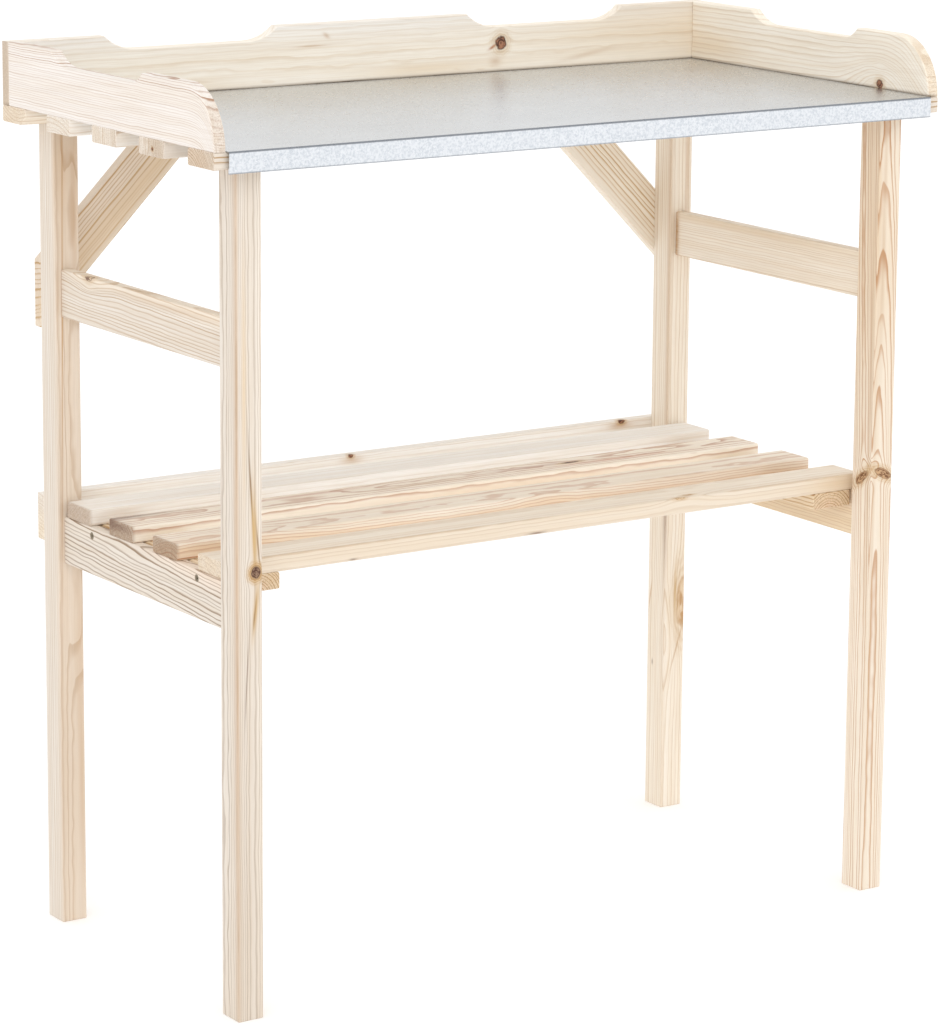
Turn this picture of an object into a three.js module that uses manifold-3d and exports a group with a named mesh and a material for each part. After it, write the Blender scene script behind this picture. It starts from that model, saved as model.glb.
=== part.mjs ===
// A potting bench: a pine frame on four legs, a slatted shelf, a slatted top under a folded metal
// sheet, and a low board with a waved top edge on three sides of it.
// Millimetres, +Z up. X runs along the bench (+X is its right-hand end seen from the front),
// Y runs from the front to the back. The origin is on the floor under the middle of the bench, lip
// of the sheet included.
import * as THREE from "three";
import { mergeVertices } from "three/addons/utils/BufferGeometryUtils.js";
import Module from "manifold-3d";

const wasm = await Module();
wasm.setup();

// ---- driving dimensions -------------------------------------------------------------------------

const LENGTH = 780; // over the end boards
const DEPTH = 382; // over the wooden top, without the lip of the sheet
const HEIGHT = 828; // to the top of the back board

const LEG = { x: 25, y: 28, ease: 0.8 };
const LEG_FROM_END = 30; // outer face of a leg to the end of the bench
const LEG_FROM_FRONT = 16; // front face of a front leg to the front of the top

const SLAT = { wide: 44, thick: 15, ease: 1.8 }; // top slats, shelf slats and shelf cleats
const RAIL = { high: 44, thick: 12, ease: 1.2 }; // side rails, back rail and braces
const BOARD = { high: 58, thick: 12, low: 45, ease: 1.0 }; // back board and end boards

const TOP_SLATS = 5;
const SHELF_SLATS = 4;
const SHELF_FROM_BACK = 44; // back of the bench to the rearmost shelf slat
const SHELF_PITCH = 80.5;
const SHELF_END_INSET = 1; // slat end to the outer face of the side rail
const CLEAT_GAP = 2; // side rail to shelf cleat

const UPPER_RAIL_TOP = 621;
const LOWER_RAIL_TOP = 390;
const BACK_RAIL_TOP = 407;
const BRACE_FOOT_TOP = { left: 626, right: 617 }; // the two braces are not fixed at one height

const TENON = { thick: 7, high: 32, deep: 12, play: 0.3 };

const COVE = { long: 33, knee: 14 }; // the hollow between a high and a low stretch of a board
const BACK_CREST = 107; // half the length of the high middle of the back board
const BACK_HORN = 291; // where the high ends of the back board begin
const END_WAVE = { horn: 90, rise: 237, step: 18, hump: 54.5, noseLong: 51 }; // from the back end
const WAVE_SHIFT = { left: -8, right: 7 }; // how far each end board's wave was cut off its mark

const SHEET = { thick: 0.8, lip: 19, ahead: 4.5, bend: 2, hem: 5, gap: 0.3 };
const WANE = { wide: 11, high: 9, long: 90 }; // bark corner on one end of the rear top slat

const SCREW = { head: 7, sink: 2, shank: 3.2, tip: 5 };
const SCREW_LONG = 30;
const SCREW_SHORT = 25;
const SCREW_PLAY = 0.3;
const CLEAT_SCREW_OUT = 96; // either way from the middle of a side rail
const BACK_RAIL_SCREW_UP = 11; // either way from the middle of the back rail
const CORNER_SCREW_UP = [14, 42]; // above the top slats
const SCREW_SIDES = 10;

const END_EASE = 0.6; // sawn ends of every board
const CORNER_STEPS = 3; // straight facets in the eased corner of a board
const CURVE_STEPS = 8; // straight facets in a cove or a nose

// ---- levels and places that follow from them ----------------------------------------------------

const halfLength = LENGTH / 2;
const back = (DEPTH + SHEET.ahead) / 2;
const front = back - DEPTH; // of the wooden top
const topZ = HEIGHT - BOARD.high; // upper face of the top slats
const legHigh = topZ - SLAT.thick;
const legX = halfLength - LEG_FROM_END - LEG.x / 2;
const frontLegY = front + LEG_FROM_FRONT + LEG.y / 2;
const backLegY = back - RAIL.thick - LEG.y / 2;
const railOuterX = legX + RAIL.thick / 2;
const railInnerX = legX - RAIL.thick / 2;
const cleatX = railInnerX - CLEAT_GAP - SLAT.wide / 2;
const railMiddleY = (frontLegY + backLegY) / 2;
const shelfBack = back - SHELF_FROM_BACK;
const shelfSpan = (SHELF_SLATS - 1) * SHELF_PITCH + SLAT.wide;
const shelfMiddleY = shelfBack - shelfSpan / 2;
const cleatZ = LOWER_RAIL_TOP - SLAT.thick / 2;
const boardMiddleY = back - BOARD.thick / 2;
const sides = { left: -1, right: 1 };

const topSlatY = (n) => front + SLAT.wide / 2 + (n * (DEPTH - SLAT.wide)) / (TOP_SLATS - 1);
const shelfSlatY = (n) => shelfBack - SLAT.wide / 2 - (SHELF_SLATS - 1 - n) * SHELF_PITCH;

// ---- materials ----------------------------------------------------------------------------------

const pine = new THREE.MeshStandardMaterial({ color: 0xe9d6b8, roughness: 0.62, metalness: 0 });
const palePine = new THREE.MeshStandardMaterial({ color: 0xf1e6cf, roughness: 0.6, metalness: 0 });
const zinc = new THREE.MeshStandardMaterial({ color: 0xcfcfcd, roughness: 0.38, metalness: 0.85 });
const steel = new THREE.MeshStandardMaterial({ color: 0x8f8a7c, roughness: 0.35, metalness: 0.9 });

// ---- solids -------------------------------------------------------------------------------------

function toManifold(geometry) {
  const bare = geometry.clone();
  bare.deleteAttribute("normal");
  bare.deleteAttribute("uv");
  const merged = mergeVertices(bare, 1e-4);
  const vertProperties = new Float32Array(merged.attributes.position.array);
  const triVerts = new Uint32Array(merged.index.array);
  return new wasm.Manifold(new wasm.Mesh({ numProp: 3, vertProperties, triVerts }));
}

function toGeometry(manifold) {
  const mesh = manifold.getMesh();
  const geometry = new THREE.BufferGeometry();
  geometry.setAttribute("position", new THREE.BufferAttribute(mesh.vertProperties, 3));
  geometry.setIndex(new THREE.BufferAttribute(mesh.triVerts, 1));
  geometry.computeVertexNormals();
  return geometry;
}

function roundedRectangle(wide, high, ease) {
  const x = wide / 2;
  const y = high / 2;
  const shape = new THREE.Shape();
  shape.absarc(x - ease, y - ease, ease, 0, Math.PI / 2);
  shape.absarc(-x + ease, y - ease, ease, Math.PI / 2, Math.PI);
  shape.absarc(-x + ease, -y + ease, ease, Math.PI, Math.PI * 1.5);
  shape.absarc(x - ease, -y + ease, ease, Math.PI * 1.5, Math.PI * 2);
  return shape;
}

// Extrudes an outline along +Z from 0 to long, with the arrises at both ends eased.
function eased(shape, long, ease, curveSegments) {
  return new THREE.ExtrudeGeometry(shape, {
    depth: long - 2 * ease,
    bevelEnabled: true,
    bevelThickness: ease,
    bevelSize: ease,
    bevelOffset: -ease,
    bevelSegments: 1,
    curveSegments,
  }).translate(0, 0, ease);
}

// A stick of timber along X, centred on its own origin.
function stickAlongX(long, deep, high, ease) {
  const geometry = eased(roundedRectangle(deep, high, ease), long, END_EASE, CORNER_STEPS);
  return geometry.translate(0, 0, -long / 2).rotateX(Math.PI / 2).rotateZ(Math.PI / 2);
}

// A stick along Y.
function stickAlongY(long, wide, high, ease) {
  const geometry = eased(roundedRectangle(wide, high, ease), long, END_EASE, CORNER_STEPS);
  return geometry.translate(0, 0, -long / 2).rotateX(Math.PI / 2);
}

// A stick standing along Z.
function stickAlongZ(long, wide, deep, ease) {
  const geometry = eased(roundedRectangle(wide, deep, ease), long, END_EASE, CORNER_STEPS);
  return geometry.translate(0, 0, -long / 2);
}

// An outline drawn in X and Z, made thick along Y about its own middle.
function plateFacingY(shape, thick, ease, curveSegments) {
  return eased(shape, thick, ease, curveSegments).translate(0, 0, -thick / 2).rotateX(Math.PI / 2);
}

// ---- the pieces: a name, a shape about its own origin, a place and a material --------------------

const pieces = [];
const addPiece = (name, geometry, place, material = pine) => {
  pieces.push({ name, geometry, place: new THREE.Vector3(...place), material });
};

// The hollow in a leg that takes the tenon of a side rail. towards is +1 when the rail is behind.
function mortise(railTop, towards) {
  const { thick, high, deep, play } = TENON;
  const box = new THREE.BoxGeometry(thick + 2 * play, 2 * (deep + play), high + 2 * play);
  box.translate(0, (towards * LEG.y) / 2, railTop - RAIL.high / 2 - legHigh / 2);
  return toManifold(box);
}

function leg(towards) {
  let solid = toManifold(stickAlongZ(legHigh, LEG.x, LEG.y, LEG.ease));
  solid = solid.subtract(mortise(UPPER_RAIL_TOP, towards));
  solid = solid.subtract(mortise(LOWER_RAIL_TOP, towards));
  return toGeometry(solid);
}

// A side rail stands on edge between the two legs of one end, with a stub tenon in each leg.
function sideRail() {
  const long = backLegY - frontLegY - LEG.y;
  const body = toManifold(stickAlongY(long, RAIL.thick, RAIL.high, RAIL.ease));
  const tenons = new THREE.BoxGeometry(TENON.thick, long + 2 * TENON.deep, TENON.high);
  return toGeometry(body.add(toManifold(tenons)));
}

function addSideFrame(side) {
  const x = sides[side] * legX;
  addPiece(`leg_front_${side}`, leg(1), [x, frontLegY, legHigh / 2]);
  addPiece(`leg_back_${side}`, leg(-1), [x, backLegY, legHigh / 2]);
  addPiece(`side_rail_upper_${side}`, sideRail(), [x, railMiddleY, UPPER_RAIL_TOP - RAIL.high / 2]);
  addPiece(`side_rail_lower_${side}`, sideRail(), [x, railMiddleY, LOWER_RAIL_TOP - RAIL.high / 2]);
}

// A brace leans at 45 degrees from the outer edge of a back leg up to the rear top slat. Its foot
// is sawn upright, flush with the leg, and its head is sawn level under the slat.
function addBrace(side) {
  const toMiddle = -sides[side];
  const cut = RAIL.high * Math.SQRT2;
  const footTop = BRACE_FOOT_TOP[side];
  const reach = legHigh - footTop;
  const shape = new THREE.Shape();
  shape.moveTo(0, footTop - cut);
  shape.lineTo(toMiddle * (reach + cut), legHigh);
  shape.lineTo(toMiddle * reach, legHigh);
  shape.lineTo(0, footTop);
  const geometry = plateFacingY(shape, RAIL.thick, END_EASE, 1);
  addPiece(`brace_${side}`, geometry, [sides[side] * (legX + LEG.x / 2), back - RAIL.thick / 2, 0]);
}

function addBackRail() {
  const long = 2 * legX + LEG.x;
  const geometry = stickAlongX(long, RAIL.thick, RAIL.high, RAIL.ease);
  addPiece("back_rail", geometry, [0, back - RAIL.thick / 2, BACK_RAIL_TOP - RAIL.high / 2]);
}

// The rear top slat was sawn near the bark: its lower front corner is missing at the left end.
// The wedge that takes it off runs out through the front face.
function waneWedge() {
  const spare = 1;
  const wedge = new THREE.Shape();
  wedge.moveTo(-spare, -spare);
  wedge.lineTo(WANE.wide, -spare);
  wedge.lineTo(WANE.wide, 0);
  wedge.lineTo(0, WANE.high);
  wedge.lineTo(-spare, WANE.high);
  const cutter = new THREE.ExtrudeGeometry(wedge, { depth: 1.5 * WANE.long, bevelEnabled: false });
  cutter.translate(0, 0, -spare).rotateX(Math.PI / 2).rotateZ(Math.PI / 2);
  cutter.rotateZ(-Math.atan2(WANE.wide, WANE.long));
  return cutter.translate(-LENGTH / 2, -SLAT.wide / 2, -SLAT.thick / 2);
}

function addTopSlats() {
  for (let n = 0; n < TOP_SLATS; n += 1) {
    let geometry = stickAlongX(LENGTH, SLAT.wide, SLAT.thick, SLAT.ease);
    if (n === TOP_SLATS - 1) {
      geometry = toGeometry(toManifold(geometry).subtract(toManifold(waneWedge())));
    }
    addPiece(`top_slat_${n + 1}`, geometry, [0, topSlatY(n), topZ - SLAT.thick / 2]);
  }
}

function addShelf() {
  const slatLong = 2 * (railOuterX - SHELF_END_INSET);
  for (let n = 0; n < SHELF_SLATS; n += 1) {
    const geometry = stickAlongX(slatLong, SLAT.wide, SLAT.thick, SLAT.ease);
    const place = [0, shelfSlatY(n), LOWER_RAIL_TOP + SLAT.thick / 2];
    addPiece(`shelf_slat_${n + 1}`, geometry, place);
  }
  for (const [side, sign] of Object.entries(sides)) {
    const geometry = stickAlongY(shelfSpan, SLAT.wide, SLAT.thick, SLAT.ease);
    addPiece(`shelf_cleat_${side}`, geometry, [sign * cleatX, shelfMiddleY, cleatZ]);
  }
}

// The back board: high ends, two long hollows and a high crest in the middle.
function addBackBoard() {
  const { high, low } = BOARD;
  const hollowStart = BACK_HORN - COVE.long;
  const hollowEnd = BACK_CREST + COVE.long;
  const shape = new THREE.Shape();
  shape.moveTo(-halfLength, 0);
  shape.lineTo(halfLength, 0);
  shape.lineTo(halfLength, high);
  shape.lineTo(BACK_HORN, high);
  shape.quadraticCurveTo(BACK_HORN - COVE.knee, low, hollowStart, low);
  shape.lineTo(hollowEnd, low);
  shape.quadraticCurveTo(BACK_CREST + COVE.knee, low, BACK_CREST, high);
  shape.lineTo(-BACK_CREST, high);
  shape.quadraticCurveTo(-BACK_CREST - COVE.knee, low, -hollowEnd, low);
  shape.lineTo(-hollowStart, low);
  shape.quadraticCurveTo(-BACK_HORN + COVE.knee, low, -BACK_HORN, high);
  shape.lineTo(-halfLength, high);
  const geometry = plateFacingY(shape, BOARD.thick, BOARD.ease, CURVE_STEPS);
  addPiece("back_board", geometry, [0, boardMiddleY, topZ], palePine);
}

// An end board: high at the back, a hollow, a low hump, and a rounded nose down to the front.
function addEndBoard(side) {
  const { high, low } = BOARD;
  const long = DEPTH - BOARD.thick;
  const horn = END_WAVE.horn + WAVE_SHIFT[side];
  const rise = END_WAVE.rise + WAVE_SHIFT[side];
  const hump = rise + END_WAVE.step;
  const shape = new THREE.Shape();
  shape.moveTo(0, 0);
  shape.lineTo(0, high);
  shape.lineTo(-horn, high);
  shape.quadraticCurveTo(-horn - COVE.knee, low, -horn - COVE.long, low);
  shape.lineTo(-rise, low);
  shape.quadraticCurveTo(-rise - END_WAVE.step / 2, low, -hump, END_WAVE.hump);
  const noseStart = long - END_WAVE.noseLong;
  shape.lineTo(-noseStart, END_WAVE.hump);
  shape.absellipse(-noseStart, 0, END_WAVE.noseLong, END_WAVE.hump, Math.PI / 2, Math.PI, false);
  const geometry = plateFacingY(shape, BOARD.thick, BOARD.ease, CURVE_STEPS);
  geometry.rotateZ(Math.PI / 2);
  const place = [sides[side] * (halfLength - BOARD.thick / 2), back - BOARD.thick, topZ];
  addPiece(`end_board_${side}`, geometry, place, palePine);
}

// The sheet lies on the slats between the boards. Its front edge is folded down over the front
// slat and hemmed inwards. The outline is its section in Y and Z, measured from the fold.
function addSheet() {
  const { thick, lip, ahead, bend, hem, gap } = SHEET;
  const long = LENGTH - 2 * BOARD.thick - 2 * gap;
  const flat = DEPTH - BOARD.thick - gap + ahead;
  const inner = bend - thick;
  const shape = new THREE.Shape();
  shape.moveTo(flat, thick);
  shape.lineTo(bend, thick);
  shape.absarc(bend, thick - bend, bend, Math.PI / 2, Math.PI, false);
  shape.lineTo(0, thick - lip);
  shape.lineTo(2 * thick, thick - lip);
  shape.lineTo(2 * thick, thick - lip + hem);
  shape.lineTo(thick, thick - lip + hem);
  shape.lineTo(thick, thick - bend);
  shape.absarc(bend, thick - bend, inner, Math.PI, Math.PI / 2, true);
  shape.lineTo(flat, 0);
  const section = new THREE.ExtrudeGeometry(shape, {
    depth: long,
    bevelEnabled: false,
    curveSegments: 4,
  });
  section.translate(0, 0, -long / 2).rotateX(Math.PI / 2).rotateZ(Math.PI / 2);
  addPiece("worktop_sheet", section, [0, front - ahead, topZ], zinc);
}

// ---- screws: a countersunk head, a plain shank and a point --------------------------------------

const screws = [];
const addScrew = (name, at, direction, long = SCREW_LONG) => {
  screws.push({
    name,
    at: new THREE.Vector3(...at),
    turn: new THREE.Quaternion().setFromUnitVectors(
      new THREE.Vector3(0, 1, 0),
      new THREE.Vector3(...direction),
    ),
    long,
  });
};

// The screw points along +Y from the middle of its head. play makes it fatter, for its hole.
function screwBody(long, play) {
  const headRadius = SCREW.head / 2 + play;
  const shankRadius = SCREW.shank / 2 + play;
  const profile = [
    [0, -play],
    [headRadius, -play],
    [shankRadius, SCREW.sink],
    [shankRadius, long - SCREW.tip],
    [0, long + play],
  ];
  const points = profile.map(([radius, y]) => new THREE.Vector2(radius, y));
  return new THREE.LatheGeometry(points, SCREW_SIDES);
}

function addScrews() {
  const recess = SCREW_PLAY; // heads lie this far below the wood
  for (const [side, sign] of Object.entries(sides)) {
    [-1, 1].forEach((end, n) => {
      const at = [sign * (railOuterX - recess), railMiddleY + end * CLEAT_SCREW_OUT, cleatZ];
      addScrew(`screw_cleat_${side}_${n + 1}`, at, [-sign, 0, 0]);
    });
    for (let n = 0; n < SHELF_SLATS; n += 1) {
      const at = [sign * cleatX, shelfSlatY(n), LOWER_RAIL_TOP - SLAT.thick + recess];
      addScrew(`screw_shelf_${side}_${n + 1}`, at, [0, 0, 1], SCREW_SHORT);
    }
    [-1, 1].forEach((up, n) => {
      const z = BACK_RAIL_TOP - RAIL.high / 2 + up * BACK_RAIL_SCREW_UP;
      addScrew(`screw_back_rail_${side}_${n + 1}`, [sign * legX, back - recess, z], [0, -1, 0]);
    });
    const braceMiddle = BRACE_FOOT_TOP[side] - RAIL.high / Math.SQRT2;
    const footZ = braceMiddle + LEG.x / 2;
    addScrew(`screw_brace_foot_${side}`, [sign * legX, back - recess, footZ], [0, -1, 0]);
    const headX = legX + LEG.x / 2 - (legHigh - braceMiddle);
    const headAt = [sign * headX, boardMiddleY, topZ - recess];
    addScrew(`screw_brace_head_${side}`, headAt, [0, 0, -1]);
    addScrew(`screw_top_${side}_front`, [sign * legX, frontLegY, topZ - recess], [0, 0, -1]);
    addScrew(`screw_top_${side}_back`, [sign * legX, backLegY, topZ - recess], [0, 0, -1]);
    const boardX = sign * (halfLength - BOARD.thick / 2);
    for (const n of [1, 2, 3]) {
      const at = [boardX, topSlatY(n), legHigh + recess];
      addScrew(`screw_end_board_${side}_${n + 1}`, at, [0, 0, 1]);
    }
    CORNER_SCREW_UP.forEach((up, n) => {
      addScrew(`screw_corner_${side}_${n + 1}`, [boardX, back - recess, topZ + up], [0, -1, 0]);
    });
  }
}

// ---- assembly -----------------------------------------------------------------------------------

Object.keys(sides).forEach(addSideFrame);
addBackRail();
Object.keys(sides).forEach(addBrace);
addTopSlats();
addShelf();
addBackBoard();
Object.keys(sides).forEach(addEndBoard);
addSheet();
addScrews();

const bench = new THREE.Group();

function boxOf(geometry, place) {
  geometry.computeBoundingBox();
  return geometry.boundingBox.clone().translate(place);
}

// Every piece is drilled for each screw that passes through it.
function drilled({ geometry, place }) {
  const box = boxOf(geometry, place);
  let solid = toManifold(geometry);
  let holes = 0;
  for (const { at, turn, long } of screws) {
    const hole = screwBody(long, SCREW_PLAY).applyQuaternion(turn);
    if (!boxOf(hole, at).intersectsBox(box)) continue;
    hole.translate(at.x - place.x, at.y - place.y, at.z - place.z);
    solid = solid.subtract(toManifold(hole));
    holes += 1;
  }
  return holes > 0 ? toGeometry(solid) : geometry;
}

for (const piece of pieces) {
  const mesh = new THREE.Mesh(drilled(piece), piece.material);
  mesh.name = piece.name;
  mesh.position.copy(piece.place);
  bench.add(mesh);
}

for (const { name, at, turn, long } of screws) {
  const mesh = new THREE.Mesh(screwBody(long, 0), steel);
  mesh.name = name;
  mesh.position.copy(at);
  mesh.quaternion.copy(turn);
  bench.add(mesh);
}

export default bench;
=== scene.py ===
"""The looks of a pine potting bench with a galvanised top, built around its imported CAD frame.

Every length in the timber section is in millimetres, because that is how boards are measured; the
objects themselves are in metres, as the frame is. Each board gets its own pine: growth rings round a
pith that lies somewhere beside the board, with its own knots, so faces, edges and sawn ends of one
board agree with each other.
"""

import math

import bmesh
import bpy
from mathutils import Matrix, Vector


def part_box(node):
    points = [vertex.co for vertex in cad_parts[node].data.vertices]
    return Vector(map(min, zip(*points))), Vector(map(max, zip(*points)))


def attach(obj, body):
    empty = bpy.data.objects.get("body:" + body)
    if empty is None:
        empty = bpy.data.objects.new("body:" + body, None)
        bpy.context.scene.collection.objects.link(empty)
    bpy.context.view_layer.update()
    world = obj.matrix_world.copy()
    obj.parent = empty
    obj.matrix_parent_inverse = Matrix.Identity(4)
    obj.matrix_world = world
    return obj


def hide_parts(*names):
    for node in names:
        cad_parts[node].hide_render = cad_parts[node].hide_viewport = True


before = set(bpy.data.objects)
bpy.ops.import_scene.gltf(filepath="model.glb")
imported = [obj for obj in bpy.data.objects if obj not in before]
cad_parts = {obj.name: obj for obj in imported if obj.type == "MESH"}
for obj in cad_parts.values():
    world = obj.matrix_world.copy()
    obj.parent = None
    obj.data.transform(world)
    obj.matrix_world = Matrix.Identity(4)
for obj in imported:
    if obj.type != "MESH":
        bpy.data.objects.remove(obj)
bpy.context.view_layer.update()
scene = bpy.context.scene

MM = 0.001
BODY = "root"


def srgb(red, green, blue):
    """A colour given on the 0 to 255 scale of a screen, as linear light."""
    channels = (value / 255 for value in (red, green, blue))
    return tuple(c / 12.92 if c <= 0.04045 else ((c + 0.055) / 1.055) ** 2.4 for c in channels)


# ---- nodes --------------------------------------------------------------------------------------


class Graph:
    """Builds one material's nodes. Each call adds a node and returns the socket that it gives."""

    def __init__(self, name):
        self.material = bpy.data.materials.new(name)
        self.material.use_nodes = True
        self.tree = self.material.node_tree
        self.tree.nodes.clear()

    def node(self, kind, inputs, output=0, **settings):
        """A shader node with its settings, and a value or a link in each input that is named."""
        node = self.tree.nodes.new("ShaderNode" + kind)
        for name, value in settings.items():
            setattr(node, name, value)
        for key, value in inputs.items():
            self.feed(node.inputs[key], value)
        return node.outputs[output]

    def feed(self, socket, value):
        """Links an input to another node's output, or sets it to a colour or a number."""
        if isinstance(value, bpy.types.NodeSocket):
            self.tree.links.new(value, socket)
        elif socket.type == "RGBA":
            socket.default_value = (*value, 1.0)
        else:
            socket.default_value = value

    def coordinates(self, output="Object"):
        """Where a point is on its object, or which way its face looks."""
        return self.node("TexCoord", {}, output)

    def math(self, operation, *values):
        """One operation on numbers."""
        return self.node("Math", dict(enumerate(values)), operation=operation)

    def vector(self, operation, *values):
        """One operation on vectors."""
        output = "Value" if operation in ("LENGTH", "DISTANCE", "DOT_PRODUCT") else "Vector"
        return self.node("VectorMath", dict(enumerate(values)), output, operation=operation)

    def scaled(self, vector, factor):
        """A vector times a number."""
        inputs = {0: vector, "Scale": factor}
        return self.node("VectorMath", inputs, "Vector", operation="SCALE")

    def place(self, vector, location=(0, 0, 0), turn=(0, 0, 0), scale=(1, 1, 1), kind="POINT"):
        """A point scaled, turned and moved. The kind TEXTURE does the reverse of that."""
        inputs = {"Vector": vector, "Location": location, "Rotation": turn, "Scale": scale}
        return self.node("Mapping", inputs, vector_type=kind)

    def step(self, value, start, end, low=0.0, high=1.0):
        """low before start, high after end, and a smooth step between them."""
        inputs = {"Value": value, "From Min": start, "From Max": end, "To Min": low, "To Max": high}
        return self.node("MapRange", inputs, interpolation_type="SMOOTHSTEP")

    def noise(self, vector, detail=2.0, output="Fac"):
        """Cloudy noise with features one unit across."""
        return self.node("TexNoise", {"Vector": vector, "Scale": 1.0, "Detail": detail}, output)

    def noise_along(self, value):
        """Cloudy noise that changes with one number."""
        inputs = {"W": value, "Scale": 1.0, "Detail": 1.0}
        return self.node("TexNoise", inputs, "Fac", noise_dimensions="1D")

    def mix(self, share, first, second, blend="MIX"):
        """The first colour with a share of the second one blended in."""
        inputs = {0: share, 6: first, 7: second}
        return self.node("Mix", inputs, 2, data_type="RGBA", blend_type=blend)

    def finish(self, inputs, bump=None):
        """The finished material, from the inputs of its one shader."""
        if bump is not None:
            inputs["Normal"] = bump
        shader = self.node("BsdfPrincipled", inputs)
        end = self.tree.nodes.new("ShaderNodeOutputMaterial")
        self.tree.links.new(shader, end.inputs["Surface"])
        return self.material


def dress(node, material):
    """Gives a CAD node its material in every slot that it has."""
    mesh_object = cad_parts[node]
    for index in range(len(mesh_object.material_slots)):
        mesh_object.material_slots[index].material = material


# ---- timber -------------------------------------------------------------------------------------

# Each grain direction as rows: along the grain, then the two directions across it.
SLOPE = math.sqrt(0.5)
ALONG_X = Matrix(((1, 0, 0), (0, 1, 0), (0, 0, 1)))
ALONG_Y = Matrix(((0, 1, 0), (-1, 0, 0), (0, 0, 1)))
ALONG_Z = Matrix(((0, 0, 1), (1, 0, 0), (0, 1, 0)))
RISING = Matrix(((SLOPE, 0, SLOPE), (0, 1, 0), (-SLOPE, 0, SLOPE)))
FALLING = Matrix(((SLOPE, 0, -SLOPE), (0, 1, 0), (SLOPE, 0, SLOPE)))

# Pine from the palest sapwood to the warmest heartwood.
WHITE = srgb(246, 242, 236)
CREAM = srgb(243, 233, 218)
PALE = srgb(250, 242, 228)
CHALK = srgb(240, 234, 228)
FAWN = srgb(228, 219, 208)
DUN = srgb(229, 215, 199)
ROSE = srgb(238, 222, 206)
PEACH = srgb(238, 217, 192)
HONEY = srgb(236, 218, 190)
TAN = srgb(222, 199, 168)

# The hard dark lines between years.
LATE = srgb(204, 176, 140)
YELLOW_LATE = srgb(214, 188, 146)
RED_LATE = srgb(206, 160, 132)
PINK_LATE = srgb(192, 158, 136)
AMBER_LATE = srgb(204, 158, 118)
BROWN_LATE = srgb(196, 150, 126)
GREY_LATE = srgb(172, 152, 132)

# Knots, stains, weathered ends, open pores and the painted shadow along a joint.
RESIN = srgb(190, 150, 106)
OCHRE = srgb(204, 170, 118)
RUSSET = srgb(176, 104, 62)
CLAY = srgb(205, 150, 118)
MAUVE = srgb(190, 150, 130)
BARK = srgb(122, 92, 76)
SEAM = srgb(140, 104, 62)
DARK_SEAM = srgb(128, 96, 62)
KNOT_DARK = srgb(84, 50, 34)
KNOT_BROWN = srgb(160, 110, 80)
KNOT_RED = srgb(170, 118, 88)
KNOT_GREY = srgb(146, 116, 92)
KNOT_AMBER = srgb(116, 76, 44)
KNOT_PALE = srgb(198, 160, 120)
WORN = srgb(168, 140, 114)
WORN_DARK = srgb(152, 126, 104)
WORN_GREY = srgb(190, 172, 156)
PORE = srgb(208, 194, 178)
PORE_WALL = srgb(242, 235, 226)
JOINT_SHADOW = srgb(96, 76, 56)

# The grain drifts and ripples over these lengths, along the board and across it.
DRIFT_ALONG = 170
DRIFT_ACROSS = 45
RIPPLE_ALONG = 26
RIPPLE_ACROSS = 9

# Round a knot, the grain parts over this many times the knot's size, by this share.
PARTING = 1.7
PARTED_SHARE = 0.85

# One year's line as shares of the year: where it starts, where it is full and where it ends.
LINE_START = 0.55
LINE_FULL = 0.9
LINE_END = 0.94

# How far off, in years, a ring may be, and how weak its line may be.
RING_WANDER = 1.6
WEAKEST_LINE = 0.45
LINE_SPREAD = 0.75

# Fibres, clouds of colour and pores, as changes per millimetre along the board and across it.
FIBRE_SCALE = (0.018, 1.1, 1.1)
CLOUD_SCALE = (0.004, 0.16, 0.16)
PORE_SCALE = (0.1, 0.9, 0.9)

# Where the noise of each turns from dark to pale, and how much of the dark colour shows.
FIBRE_EDGES = (0.38, 0.62)
CLOUD_EDGES = (0.36, 0.64)
PORE_EDGES = (0.35, 0.6)
FIBRE_SHARE = 0.25
CLOUD_SHARE = 0.3
PORE_SHARE = 0.7

# How much of a streak shows between the fibres, and how much more along them.
STREAK_BASE = 0.3
STREAK_FIBRE = 1.4

# A knot's outline wanders by this share of its size, over patches of this scale, and it has this
# many ripples of its own. Its stain fades, and its rim begins and ends, at these parts of its size.
KNOT_WANDER = 0.7
KNOT_PATCH = 1.3
KNOT_RIPPLES = 17.0
STAIN_EDGES = (0.9, 2.4)
RIM_EDGES = (0.6, 0.95)
BODY_EDGES = (0.8, 1.12)
MOTTLE_EDGES = (0.4, 0.62)
GAP_EDGES = (0.3, 0.6)
GAP_SHARE = 0.3

# The change from heart to sap colour wanders over this many millimetres.
HEART_SPREAD = 14.0

# The relief of the surface in millimetres, the parts that lines, fibres and sawn ends have in it,
# and the shine.
RELIEF = 0.25
RELIEF_STRENGTH = 0.35
LINE_RELIEF = 0.5
FIBRE_RELIEF = 0.6
SAWN_RELIEF = 1.2
ROUGHNESS = 0.5
FIBRE_ROUGHNESS = 0.16
SAWN_ROUGHNESS = 0.12
WOOD_IOR = 1.45


def grain_space(graph, node, grain):
    """Where a point is in its board, in millimetres from the board's middle, X along the grain."""
    low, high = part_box(node)
    shift = -(grain @ (low + high)) / 2 / MM
    return graph.place(graph.coordinates(), shift, grain.to_euler(), (1 / MM,) * 3)


def fade_from(graph, place, at, size, turn=(0, 0, 0)):
    """1 at a point, falling off smoothly over an ellipsoid of that size round it."""
    near = graph.place(place, at, turn, size, "TEXTURE")
    square = graph.math("POWER", graph.vector("LENGTH", near), 2.0)
    return graph.math("EXPONENT", graph.math("MULTIPLY", square, -1.0))


def bent(graph, place, at, size, lift):
    """The grain pushed aside by up to lift round a point."""
    return graph.vector("MULTIPLY_ADD", fade_from(graph, place, at, size), lift, place)


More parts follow.
